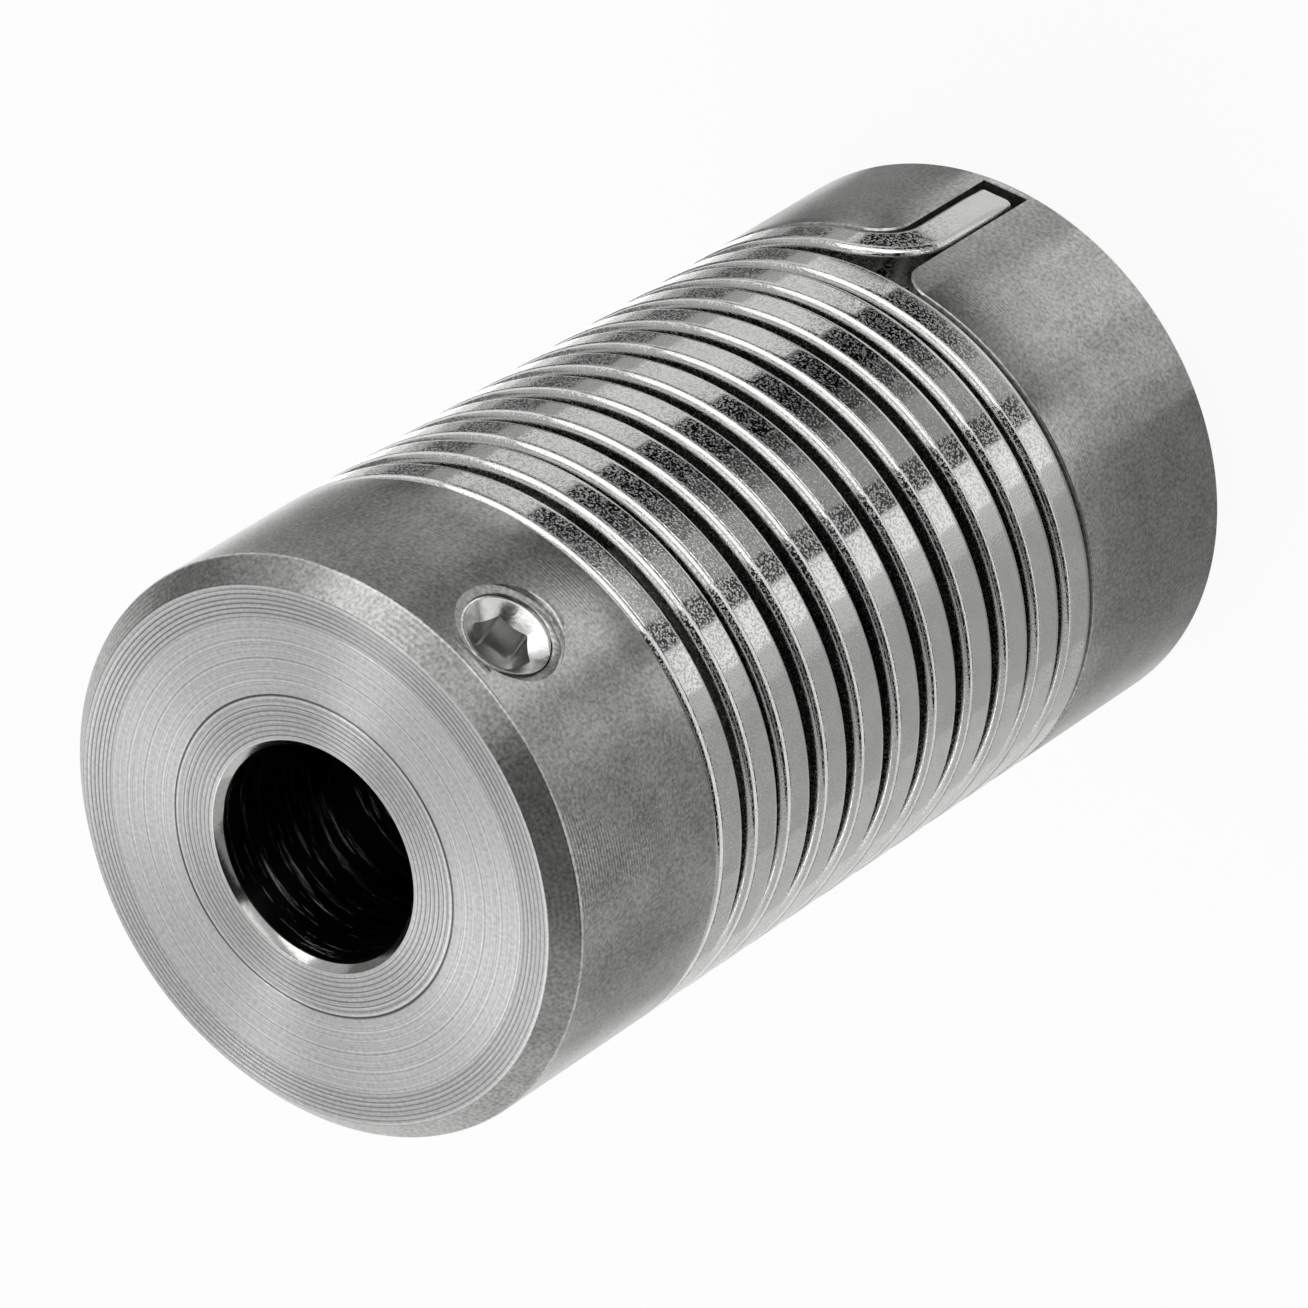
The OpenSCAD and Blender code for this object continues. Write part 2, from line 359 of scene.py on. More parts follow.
def face_depth(r):
    depth = FACE_SCRIBE[2] * math.exp(-((r - FACE_SCRIBE[0]) / FACE_SCRIBE[1]) ** 2)
    for low, high, feed, scallop, lean in FACE_RINGS:
        if low <= r <= high:
            across = (r - low) / feed % 1 * 2 - 1
            depth += scallop * (1 - across * across) + abs(lean) / 2 + lean / 2 * across
    return depth


def hub_outline():
    inner, outer = BORE_R + BORE_CHAMFER, HUB_R - RIM_CHAMFER
    fine = [np.arange(ring[0] - FACE_STEP, ring[1] + 2 * FACE_STEP, FACE_STEP) for ring in FACE_RINGS]
    fine.append(SCRIBE_POINTS * FACE_SCRIBE[1] + FACE_SCRIBE[0])
    face = [(r, face_depth(r)) for r in np.unique(np.concatenate(fine))]
    turned = rounded([(inner, 0, FACE_EDGE), (outer, 0, FACE_EDGE), (HUB_R, RIM_CHAMFER, RIM_ROUND),
                      (HUB_R, RAMP_TOP, EDGE_BREAK), (NOSE_R, RAMP_TOP, 0), (NOSE_R, NOSE_TOP, EDGE_BREAK),
                      (TIP_R, NOSE_TOP, 0), (TIP_R, TIP_TOP, EDGE_BREAK), (inner, TIP_TOP, FACE_EDGE),
                      (BORE_R, TIP_TOP - BORE_CHAMFER, FACE_EDGE), (BORE_R, BORE_CHAMFER, FACE_EDGE)])
    # The points of the first rounded corner, at the bore's mouth, come before those of the face
    after_face = ROUND_STEPS + 1
    rim_end = max(k for k, (r, z) in enumerate(turned) if abs(r - HUB_R) < 1e-6 and z < SEAT_H)
    side = [(HUB_R, z) for z in np.arange(RIM_CHAMFER + SIDE_STEP, SEAT_H - SIDE_STEP / 2, SIDE_STEP)]
    near_end = hold_flats(turned[:after_face] + face + turned[after_face:rim_end + 1] + side[:1],
                          closed=False)
    return near_end + side[1:] + turned[rim_end + 1:]


outline = hub_outline()
print("points in the hub's outline:", len(outline))

# %% [markdown]
# The seat under the first turn climbs with the wire, like a single turn of a screw. Each column of the
# revolved mesh therefore gets its own seat height. The step where the seat starts again falls inside
# the slot, so it is milled away.

# %% Revolved hub with its seat ramp
HUB_COLUMNS = 256
seat_rows = {k for k, (r, z) in enumerate(outline) if abs(z - RAMP_TOP) < 2 * EDGE_BREAK}
hub_points = []
for column in range(HUB_COLUMNS):
    turn = (column + 0.5) / HUB_COLUMNS
    c, s = math.cos(2 * math.pi * turn), math.sin(2 * math.pi * turn)
    hub_points += [(r * c, r * s, z - SEAT_LEAD * (1 - turn) if k in seat_rows else z)
                   for k, (r, z) in enumerate(outline)]
m = len(outline)
hub_faces = []
for column in range(HUB_COLUMNS):
    here, ahead = column * m, (column + 1) % HUB_COLUMNS * m
    hub_faces += [(here + k, ahead + k, ahead + (k + 1) % m, here + (k + 1) % m) for k in range(m)]
turned_hub = weld(mesh_piece("turned_hub", hub_points, hub_faces))
print("turned hub faces:", len(turned_hub.data.polygons))

# %% [markdown]
# The slot for the tang is milled along the outside, with a closed end and a rounded mouth that the bend
# of the wire lies against. The cutter is a prism of that outline, flared a little where it leaves the
# surface, so the cut also breaks the slot's edge.

# %% Slots for the tangs
SLOT_GAP = 0.12
OVER = 1.0
CORNER_LIFT = 0.02
CORNER_STEPS = 10
SLOT_BREAK = 0.05
SLOT_FLOOR_GAP = 2 * LAYER_GAP
slot_half = WIRE / 2 + SLOT_GAP


def slot_outline(end_z, top_z, corner_r, right_z=None, left_z=None):
    """Outline of a slot as (across, height), with a rounded corner on each side that gives its height."""
    arc = np.radians(np.linspace(0, 90, CORNER_STEPS))
    shape = [(-slot_half, end_z), (slot_half, end_z)]
    wide = slot_half + corner_r
    if right_z is None:
        shape += [(slot_half, top_z)]
    else:
        shape += [(wide - corner_r * math.cos(a), right_z - corner_r * (1 - math.sin(a))) for a in arc]
        shape += [(wide, top_z)]
    if left_z is None:
        shape += [(-slot_half, top_z)]
    else:
        shape += [(-wide, top_z)]
        shape += [(corner_r * math.cos(a) - wide, left_z - corner_r * (1 - math.sin(a))) for a in arc[::-1]]
    return np.array(shape)


def slot_cutter(name, shape, floor_x, surface_r, angle):
    ahead, behind = np.roll(shape, -1, 0) - shape, shape - np.roll(shape, 1, 0)
    along = ahead / np.linalg.norm(ahead, axis=1)[:, None] + behind / np.linalg.norm(behind, axis=1)[:, None]
    out = np.stack([along[:, 1], -along[:, 0]], 1) / np.linalg.norm(along, axis=1)[:, None]
    flared = shape + out * 2 * SLOT_BREAK
    layers = [(shape, np.full(len(shape), floor_x)),
              (shape, np.sqrt((surface_r - SLOT_BREAK) ** 2 - shape[:, 0] ** 2)),
              (flared, np.sqrt((surface_r + SLOT_BREAK) ** 2 - flared[:, 0] ** 2)),
              (flared, np.full(len(shape), surface_r + OVER))]
    c, s = math.cos(math.radians(angle)), math.sin(math.radians(angle))
    points = [(x * c - y * s, x * s + y * c, z) for layer, xs in layers for (y, z), x in zip(layer, xs)]
    n = len(shape)
    faces = [(k * n + i, k * n + (i + 1) % n, (k + 1) * n + (i + 1) % n, (k + 1) * n + i)
             for k in range(len(layers) - 1) for i in range(n)]
    return weld(mesh_piece(name, points, faces))


bend_rise = SEAT_LEAD * OUTER_BEND / (2 * math.pi * HUB_R)
outer_slot = slot_outline(SLOT_END, RAMP_TOP + OVER, OUTER_BEND - slot_half,
                          SEAT_H + bend_rise + CORNER_LIFT, RAMP_TOP - bend_rise + CORNER_LIFT)
middle_slot = slot_outline(NOSE_TOP - NOSE_SLOT_H, NOSE_TOP + OVER, INNER_BEND - slot_half,
                           left_z=NOSE_TOP + CORNER_LIFT)
inner_slot = slot_outline(TIP_TOP - NOSE_SLOT_H, TIP_TOP + OVER, INNER_BEND - slot_half,
                          right_z=TIP_TOP + CORNER_LIFT)
for name, shape, wire_r, surface_r, angle in (
        ("outer_slot_mill", outer_slot, NOSE_R, HUB_R, 0),
        ("middle_slot_mill", middle_slot, TIP_R, NOSE_R, MIDDLE_SLOT_A),
        ("inner_slot_mill", inner_slot, TIP_R - WIRE, TIP_R, INNER_SLOT_A)):
    cut(turned_hub, slot_cutter(name, shape, wire_r - SLOT_FLOOR_GAP, surface_r, angle))
print("slotted hub faces:", len(turned_hub.data.polygons))

# %% [markdown]
# ## Set screws
#
# A set screw and its hole share one thread, a groove that climbs half a millimetre a turn. One function
# makes the threaded surface: its rows climb with the angle, so the last column joins the first one a
# pitch higher. The same rows, a little larger, make the tap that cuts the hole.

# %% Threaded rod
SCREW_R = 1.47
SCREW_L = 4.0
SCREW_H = 2.6
SCREW_RECESS = 0.25
THREAD_PITCH = 0.5
THREAD_DEPTH = 0.27
# Rows of one pitch: share of the pitch, share of the depth (crest, crest, root, root)
THREAD_ROWS = ((0.0, 0.0), (0.125, 0.0), (0.44, 1.0), (0.69, 1.0))
SCREW_COLUMNS = 72
columns = np.arange(SCREW_COLUMNS) / SCREW_COLUMNS


def thread_r(z, grow):
    shares, depths = zip(*THREAD_ROWS, (1.0, 0.0))
    return SCREW_R + grow - THREAD_DEPTH * np.interp((z / THREAD_PITCH - columns) % 1, shares, depths)


def threaded_rod(low, high, grow, most_r):
    per = len(THREAD_ROWS)
    points = []
    for pitch in range(int((high - low) / THREAD_PITCH) + 3):
        for share, depth in THREAD_ROWS:
            z = low + (pitch + share - 1 + columns) * THREAD_PITCH
            r = np.where((z < low) | (z > high), thread_r(np.clip(z, low, high), grow),
                         SCREW_R + grow - THREAD_DEPTH * depth)
            z = np.clip(z, low, high)
            points += [(r_ * math.cos(2 * math.pi * t), r_ * math.sin(2 * math.pi * t), z_)
                       for r_, t, z_ in zip(np.minimum(r, most_r(z)), columns, z)]
    rows, n = len(points) // SCREW_COLUMNS, SCREW_COLUMNS
    faces = [(i * n + j, i * n + j + 1, (i + 1) * n + j + 1, (i + 1) * n + j)
             for i in range(rows - 1) for j in range(n - 1)]
    faces += [(i * n + n - 1, (i + per) * n, (i + per + 1) * n, (i + 1) * n + n - 1)
              for i in range(rows - per - 1)]
    return points, faces


def on_screw_axis(points):
    """Points drawn round +Z from the screw's cup end, moved to the screw's place in a hub."""
    a, b, c = np.asarray(points, float).T
    return np.stack([-(c + HUB_R - SCREW_RECESS - SCREW_L), -b, SCREW_H - a], -1)


print("turns of thread on a screw:", SCREW_L / THREAD_PITCH)

# %% [markdown]
# The hole is tapped right through to the bore, and a countersink takes the burr off its mouth. The
# rounded lip that this leaves is what shows as a bright ring round the screw.

# %% Tapped hole
def rings_of(rows):
    n = SCREW_COLUMNS
    points = [(r_ * math.cos(2 * math.pi * t), r_ * math.sin(2 * math.pi * t), z_)
              for r, z in rows
              for r_, z_, t in zip(np.broadcast_to(r, n), np.broadcast_to(z, n), columns)]
    faces = [(i * n + j, i * n + (j + 1) % n, (i + 1) * n + (j + 1) % n, (i + 1) * n + j)
             for i in range(len(rows) - 1) for j in range(n)]
    return points, faces


TAP_CLEARANCE = 0.05
TAP_TIP_R, TAP_OVER = 1.0, 2.0
TAP_LOW, TAP_HIGH = -3 * THREAD_PITCH, SCREW_L + TAP_OVER
# Lip at the mouth of the hole: radius it starts from, its round, degrees it turns, reach past the hub
LIP_R, LIP, LIP_TURN, LIP_OVER = 1.51, 0.14, 70, 0.3
LIP_STEPS = 6
HUB_SHARP_DEG = 32
tap_points, tap_faces = threaded_rod(TAP_LOW, TAP_HIGH, TAP_CLEARANCE,
                                     lambda z: TAP_TIP_R + np.minimum(z - TAP_LOW, TAP_HIGH - z))
cut(turned_hub, weld(mesh_piece("tap", on_screw_axis(tap_points), tap_faces)))
surface_z = SCREW_L + SCREW_RECESS
lip_turns = np.radians(np.linspace(0, LIP_TURN, LIP_STEPS))
sink_rows = [(LIP_R + LIP * (1 - math.cos(a)), surface_z - LIP * (1 - math.sin(a))) for a in lip_turns]
sink_rows.append((sink_rows[-1][0] + LIP_OVER * math.tan(lip_turns[-1]), sink_rows[-1][1] + LIP_OVER))
sink_points, sink_faces = rings_of(sink_rows)
cut(turned_hub, weld(mesh_piece("countersink", on_screw_axis(sink_points), sink_faces)))
smooth(turned_hub, HUB_SHARP_DEG)
print("finished hub faces:", len(turned_hub.data.polygons))

# %% [markdown]
# The screw itself is the threaded rod with a bevelled head, a hexagon socket and a cup point. The
# socket has the same number of columns as the thread, so its rows weld straight on to the head. Its
# corners are turned as they stand in the photograph. All faces inside the socket are marked for a finish
# of their own, a shade darker than the head's.

# %% Set screw
SOCKET_AF = 1.5
SOCKET_DEPTH = 1.3
SOCKET_TURN = -13.0
SOCKET_FLOOR = 0.9
DRILL_POINT = 0.2
HEAD_R, RIM_R, RIM_DROP = 1.38, 1.29, 0.1
DISH_R, DISH_ROUND, DISH_SLOPE = 1.2, 0.05, 0.7
CUP_R = 0.75
RIM_STEPS = 5
SCREW_SHARP_DEG = 30


def hexagon(af):
    from_flat = (columns * 360 - SOCKET_TURN) % 60 - 30
    return af / 2 / np.cos(np.radians(from_flat))


rim_low = SCREW_L - RIM_DROP
rod = threaded_rod(0, rim_low, 0, lambda z: np.minimum(CUP_R + z, HEAD_R + rim_low - z))
thread_end_r = thread_r(rim_low, 0)
rim = [(np.minimum(RIM_R + (HEAD_R - RIM_R) * math.cos(a), thread_end_r), rim_low + RIM_DROP * math.sin(a))
       for a in np.linspace(0, math.pi / 2, RIM_STEPS)]
socket_r, socket_low = hexagon(SOCKET_AF), SCREW_L - SOCKET_DEPTH
dish = [(DISH_R, SCREW_L), (DISH_R - DISH_ROUND, SCREW_L - DISH_ROUND / 2),
        (socket_r, SCREW_L - DISH_ROUND - DISH_SLOPE * (DISH_R - socket_r))]
socket = [(socket_r, socket_low), (SOCKET_AF / 2 * SOCKET_FLOOR, socket_low),
          (0.0, socket_low - DRILL_POINT)]
head = rings_of(rim + dish + socket)
cup = rings_of([(CUP_R, 0), (0.0, CUP_R / 2)])
screw_points, screw_faces = [], []
for points, faces in (rod, head, cup):
    screw_faces += [tuple(i + len(screw_points) for i in face) for face in faces]
    screw_points += points
set_screw = smooth(weld(mesh_piece("set_screw", on_screw_axis(screw_points), screw_faces)), SCREW_SHARP_DEG)
for face in set_screw.data.polygons:
    off_axis = math.hypot(face.center.y, face.center.z - SCREW_H * MM)
    outer_half = -face.center.x > (HUB_R - SCREW_L / 2) * MM
    face.material_index = int(off_axis < socket_r.max() * MM and outer_half)
print("set screw faces:", len(set_screw.data.polygons))

# %% [markdown]
# ## Two of each
#
# The two hubs are the same part, and so are the two screws. Each shape is drawn once and copied twice:
# one copy is turned to its slot on the floor side, the other is turned over on top.

# %% Place hubs and set screws
places = {"lower": Matrix.Rotation(math.radians(LOWER_A), 4, "Z"),
          "upper": (Matrix.Translation((0, 0, LENGTH * MM)) @ Matrix.Rotation(math.radians(UPPER_A), 4, "Z")
                    @ Matrix.Rotation(math.pi, 4, "X"))}
hubs, screws = [], []
for end, place in places.items():
    for shape, node, finish, slot, group in ((turned_hub, "hub", "turned", "hub_steel", hubs),
                                             (set_screw, "set_screw", "threaded", "screw_steel", screws)):
        piece = bpy.data.objects.new(f"{end}_{node}_{finish}", shape.data.copy())
        bpy.context.scene.collection.objects.link(piece)
        piece.data.transform(place)
        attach(piece, "root")
        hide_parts(f"{end}_{node}")
        group.append(piece)
        print(piece.name, "turned by", round(math.degrees(place.to_euler().z), 1), "degrees")
for shape in (turned_hub, set_screw):
    bpy.data.objects.remove(shape)

# %% [markdown]
# ## Finishes
#
# A small function adds a shader node with its settings and links, so each material reads as a list of
# steps. Colours are written as sRGB hex values and turned to linear once. Object coordinates are in
# metres, so a pattern of so many millimetres gets a scale of 1000 over that size.

# %% Node and colour helpers
def add(tree, kind, settings=(), links=()):
    node = tree.nodes.new(kind)
    for key, value in dict(settings).items():
        if isinstance(key, int) or key in node.inputs:
            node.inputs[key].default_value = value
        else:
            setattr(node, key, value)
    for socket, source in dict(links).items():
        tree.links.new(source, node.inputs[socket])
    return node


def linear(hex_colour):
    channels = [int(hex_colour[i:i + 2], 16) / 255 for i in (1, 3, 5)]
    return tuple(c / 12.92 if c <= 0.04045 else ((c + 0.055) / 1.055) ** 2.4 for c in channels) + (1.0,)


def per_mm(size):
    return 1 / (size * MM)


def new_material(name):
    material = bpy.data.materials.new(name)
    material.use_nodes = True
    tree = material.node_tree
    return material, tree, tree.nodes["Principled BSDF"], add(tree, "ShaderNodeTexCoord").outputs["Object"]


print("mid grey #808080 in linear light:", round(linear("#808080")[0], 3))

# %% [markdown]
# ### Blasted steel
#
# The outside of a hub was turned and then blasted with fine grit. That leaves a dull grey skin with a
# fine grain, soft cloudy patches, and the ghost of the turning lines.

# %% Blasted steel of the hubs
# Real grit marks are finer. A pixel of the picture is about 0.03 mm, so the grain is drawn coarser to show
GRAIN, GRAIN_DEPTH = 0.1, 0.002
CLOUD, CLOUD_SHARE = 1.1, 0.3
TURNING_FEED = 0.11
TURNING_PATCH = 3.0
# A wave texture at scale 1 repeats after this length
WAVE_UNIT = 2 * math.pi / 20
blasted, tree, shader, place = new_material("blasted_turned_steel")
grain = add(tree, "ShaderNodeTexNoise", {"Scale": per_mm(GRAIN), "Detail": 2.0, "Roughness": 0.5},
            {"Vector": place})
cloud = add(tree, "ShaderNodeTexNoise", {"Scale": per_mm(CLOUD), "Detail": 2.0}, {"Vector": place})
tint = add(tree, "ShaderNodeMath", {"operation": "MULTIPLY_ADD", 1: CLOUD_SHARE},
           {0: cloud.outputs["Fac"], 2: grain.outputs["Fac"]})
shade = add(tree, "ShaderNodeMapRange", {"From Min": 0.44, "From Max": 0.86}, {"Value": tint.outputs[0]})
colour = add(tree, "ShaderNodeMix", {"data_type": "RGBA", 6: linear("#949492"), 7: linear("#c8c8c6")},
             {0: shade.outputs["Result"]})
matt = add(tree, "ShaderNodeMapRange", {"From Min": 0.3, "From Max": 0.7, "To Min": 0.28, "To Max": 0.32},
           {"Value": grain.outputs["Fac"]})
lines = add(tree, "ShaderNodeTexWave", {"wave_type": "BANDS", "bands_direction": "Z",
                                        "Scale": WAVE_UNIT * per_mm(TURNING_FEED), "Distortion": 0.6},
            {"Vector": place})
patch = add(tree, "ShaderNodeTexNoise", {"Scale": per_mm(TURNING_PATCH), "Detail": 1.0}, {"Vector": place})
left = add(tree, "ShaderNodeMapRange", {"From Min": 0.4, "From Max": 0.6, "To Max": 1.2},
           {"Value": patch.outputs["Fac"]})
relief = add(tree, "ShaderNodeMath", {"operation": "MULTIPLY_ADD"},
             {0: lines.outputs["Fac"], 1: left.outputs["Result"], 2: grain.outputs["Fac"]})
bump = add(tree, "ShaderNodeBump", {"Strength": 1.0, "Distance": GRAIN_DEPTH * MM},
           {"Height": relief.outputs[0]})
shader.inputs["Metallic"].default_value = 1.0
tree.links.new(colour.outputs[2], shader.inputs["Base Color"])
tree.links.new(matt.outputs["Result"], shader.inputs["Roughness"])
tree.links.new(bump.outputs["Normal"], shader.inputs["Normal"])
print(blasted.name, "grain of", GRAIN, "mm")

# %% [markdown]
# ### Faced steel
#
# The end face came straight off the lathe. Its fine circular feed marks spread the light across the
# marks, so the face shows bright wedges that point to the centre. Anisotropy with a tangent round the
# axis gives that, turned by a quarter so that the spread is radial. The scribed ring and the valleys
# of the tool rings are painted darker, as painted shade.

# %% Faced steel of the end faces
# The finest feed marks are too fine to show, so they are drawn coarser
FACED_MARK, MARK_DEPTH = 0.06, 0.0012
SPECK, SPECK_SHARE = 0.12, 0.6
# Painted shade: half width and strength of the shade painted into the scribed ring, then strength of the
# shade painted across a zone of tool rings and into its valleys
SCRIBE_HALF, SCRIBE_PAINTED_SHADE = 0.022, 0.8
RING_ZONE_PAINTED_SHADE, RING_VALLEY_PAINTED_SHADE = 0.06, 0.6
faced, tree, shader, place = new_material("faced_turned_steel")
flat_place = add(tree, "ShaderNodeVectorMath", {"operation": "MULTIPLY", 1: (1, 1, 0)}, {0: place})
radius = add(tree, "ShaderNodeVectorMath", {"operation": "LENGTH"}, {0: flat_place.outputs["Vector"]})
marks = add(tree, "ShaderNodeTexNoise",
            {"noise_dimensions": "1D", "Scale": per_mm(FACED_MARK), "Detail": 3.0},
            {"W": radius.outputs["Value"]})
speck = add(tree, "ShaderNodeTexNoise", {"Scale": per_mm(SPECK), "Detail": 3.0}, {"Vector": place})
tint = add(tree, "ShaderNodeMath", {"operation": "MULTIPLY_ADD", 1: SPECK_SHARE},
           {0: speck.outputs["Fac"], 2: marks.outputs["Fac"]})
shade = add(tree, "ShaderNodeMapRange", {"From Min": 0.45, "From Max": 1.15}, {"Value": tint.outputs[0]})
colour = add(tree, "ShaderNodeMix", {"data_type": "RGBA", 6: linear("#8a8a89"), 7: linear("#c8c8c8")},
             {0: shade.outputs["Result"]})
# Painted shade: the colour is darkened towards #3c3c3b in the scribed ring and in the valleys of the tool
# rings
groove = add(tree, "ShaderNodeMath", {"operation": "COMPARE", 1: FACE_SCRIBE[0] * MM, 2: SCRIBE_HALF * MM},
             {0: radius.outputs["Value"]})
dark = add(tree, "ShaderNodeMath", {"operation": "MULTIPLY", 1: SCRIBE_PAINTED_SHADE}, {0: groove.outputs[0]})
for low, high, feed, *_ in FACE_RINGS:
    rings = add(tree, "ShaderNodeTexWave", {"wave_type": "RINGS", "rings_direction": "Z",
                                            "Scale": WAVE_UNIT * per_mm(feed),
                                            "Phase Offset": math.pi - 2 * math.pi * low / feed},
                {"Vector": place})
    thin = add(tree, "ShaderNodeMapRange", {"From Min": 0.6, "To Min": RING_ZONE_PAINTED_SHADE, "To Max": RING_VALLEY_PAINTED_SHADE},
               {"Value": rings.outputs["Fac"]})
    zone = add(tree, "ShaderNodeMath",
               {"operation": "COMPARE", 1: (low + high) / 2 * MM, 2: (high - low) / 2 * MM},
               {0: radius.outputs["Value"]})
    dark = add(tree, "ShaderNodeMath", {"operation": "MULTIPLY_ADD"},
               {0: thin.outputs["Result"], 1: zone.outputs[0], 2: dark.outputs[0]})
# The painted shade darkens the colour towards this grey
colour = add(tree, "ShaderNodeMix", {"data_type": "RGBA", 7: linear("#3c3c3b")},
             {0: dark.outputs[0], 6: colour.outputs[2]})
bump = add(tree, "ShaderNodeBump", {"Strength": 1.0, "Distance": MARK_DEPTH * MM},
           {"Height": tint.outputs[0]})
round_axis = add(tree, "ShaderNodeTangent", {"direction_type": "RADIAL", "axis": "Z"})
shader.inputs["Metallic"].default_value = 1.0
shader.inputs["Roughness"].default_value = 0.32
shader.inputs["Anisotropic"].default_value = 0.92
shader.inputs["Anisotropic Rotation"].default_value = 0.25
tree.links.new(colour.outputs[2], shader.inputs["Base Color"])
tree.links.new(bump.outputs["Normal"], shader.inputs["Normal"])
tree.links.new(round_axis.outputs["Tangent"], shader.inputs["Tangent"])
print(faced.name, "zones of tool rings:", len(FACE_RINGS))

# %% [markdown]
# ### Bored steel
#
# The bore was drilled and reamed. Its colour is painted darker than the face, as painted shade for a
# bore that sees mostly itself. The tool left long streaks round it that flash where they face the
# light, and the streaks are painted lighter too, as painted highlight.

# %% Bored steel of the shaft hole
STREAK, STREAK_DEPTH = 0.5, 0.025
# Stretched round the bore and squeezed along it
STREAK_STRETCH = (0.25, 0.25, 3.0)
bored, tree, shader, place = new_material("reamed_steel")
stretched = add(tree, "ShaderNodeVectorMath", {"operation": "MULTIPLY", 1: STREAK_STRETCH}, {0: place})
streaks = add(tree, "ShaderNodeTexNoise", {"Scale": per_mm(STREAK), "Detail": 4.0, "Roughness": 0.6},
              {"Vector": stretched.outputs["Vector"]})
# Painted shade and painted highlight: most of the bore takes the dark #5e5e5d as painted shade, and the
# streaks take the lighter #b8b8b6 as painted highlight; the same streaks are real relief in the bump
few = add(tree, "ShaderNodeMapRange", {"From Min": 0.56, "From Max": 0.8}, {"Value": streaks.outputs["Fac"]})
colour = add(tree, "ShaderNodeMix", {"data_type": "RGBA", 6: linear("#5e5e5d"), 7: linear("#b8b8b6")},
             {0: few.outputs["Result"]})
bump = add(tree, "ShaderNodeBump", {"Strength": 1.0, "Distance": STREAK_DEPTH * MM},
           {"Height": few.outputs["Result"]})
shader.inputs["Metallic"].default_value = 1.0
shader.inputs["Roughness"].default_value = 0.25
tree.links.new(colour.outputs[2], shader.inputs["Base Color"])
tree.links.new(bump.outputs["Normal"], shader.inputs["Normal"])
print(bored.name, "streaks about", STREAK / STREAK_STRETCH[0], "mm long")

# %% [markdown]
# ### Countersunk steel
#
# The chamfer at the mouth of the bore was cut with a sharp countersink after facing. It is the brightest
# cut on the hub and mirrors a lamp as a small white patch.

# %% Countersunk steel of the bore's mouth
CHATTER, CHATTER_DEPTH = 0.15, 0.002
sunk, tree, shader, place = new_material("countersunk_steel")
chatter = add(tree, "ShaderNodeTexNoise", {"Scale": per_mm(CHATTER), "Detail": 2.0}, {"Vector": place})
colour = add(tree, "ShaderNodeMix", {"data_type": "RGBA", 6: linear("#bcbcba"), 7: linear("#dededc")},
             {0: chatter.outputs["Fac"]})
bump = add(tree, "ShaderNodeBump", {"Strength": 1.0, "Distance": CHATTER_DEPTH * MM},
           {"Height": chatter.outputs["Fac"]})
shader.inputs["Metallic"].default_value = 1.0
shader.inputs["Roughness"].default_value = 0.15
tree.links.new(colour.outputs[2], shader.inputs["Base Color"])
tree.links.new(bump.outputs["Normal"], shader.inputs["Normal"])
print(sunk.name, "chatter of", CHATTER, "mm")

# %% [markdown]
# ### Drawn spring wire
#
# Spring wire is drawn through a die and left bright. It mirrors the room in clean bands along the
# coupling. Tiny dull pits break the bands up, so a dark band looks speckled with light.

# %% Drawn spring wire
# Real pits are finer than this, so they are drawn coarser to show
PIT, PIT_DEPTH = 0.07, 0.0025
STAIN = 0.8
drawn, tree, shader, place = new_material("bright_drawn_spring_steel")
skin = add(tree, "ShaderNodeTexNoise", {"Scale": per_mm(PIT), "Detail": 3.0, "Roughness": 0.6},
           {"Vector": place})
pits = add(tree, "ShaderNodeMapRange", {"From Min": 0.52, "From Max": 0.64}, {"Value": skin.outputs["Fac"]})
stain = add(tree, "ShaderNodeTexNoise", {"Scale": per_mm(STAIN), "Detail": 2.0}, {"Vector": place})
shade = add(tree, "ShaderNodeMapRange", {"From Min": 0.35, "From Max": 0.65},
            {"Value": stain.outputs["Fac"]})
colour = add(tree, "ShaderNodeMix", {"data_type": "RGBA", 6: linear("#d8d8d6"), 7: linear("#e0e0de")},
             {0: shade.outputs["Result"]})
gloss = add(tree, "ShaderNodeMapRange", {"To Min": 0.08, "To Max": 0.28}, {"Value": pits.outputs["Result"]})
bump = add(tree, "ShaderNodeBump", {"Strength": 1.0, "Distance": PIT_DEPTH * MM, "invert": True},
           {"Height": pits.outputs["Result"]})
shader.inputs["Metallic"].default_value = 1.0
tree.links.new(colour.outputs[2], shader.inputs["Base Color"])
tree.links.new(gloss.outputs["Result"], shader.inputs["Roughness"])
tree.links.new(bump.outputs["Normal"], shader.inputs["Normal"])
print(drawn.name, "pits of", PIT, "mm")

# %% [markdown]
# ### Tempered spring wire
#
# The two springs inside are as they came from tempering, dull and dark. Through the gaps of the outer
# spring they show only as black.

# %% Tempered wire of the hidden springs
SCALE_SPOT = 0.4
tempered, tree, shader, place = new_material("tempered_spring_steel")
scale = add(tree, "ShaderNodeTexNoise", {"Scale": per_mm(SCALE_SPOT), "Detail": 3.0}, {"Vector": place})
colour = add(tree, "ShaderNodeMix", {"data_type": "RGBA", 6: linear("#3a3a39"), 7: linear("#565654")},
             {0: scale.outputs["Fac"]})
shader.inputs["Metallic"].default_value = 1.0
shader.inputs["Roughness"].default_value = 0.45
tree.links.new(colour.outputs[2], shader.inputs["Base Color"])
print(tempered.name, "spots of", SCALE_SPOT, "mm")

# %% [markdown]
# ### Plated screw steel
#
# Set screws are cold-headed, rolled and zinc plated. The skin is brighter than the hub's and a little
# wavy, so its highlights wobble.

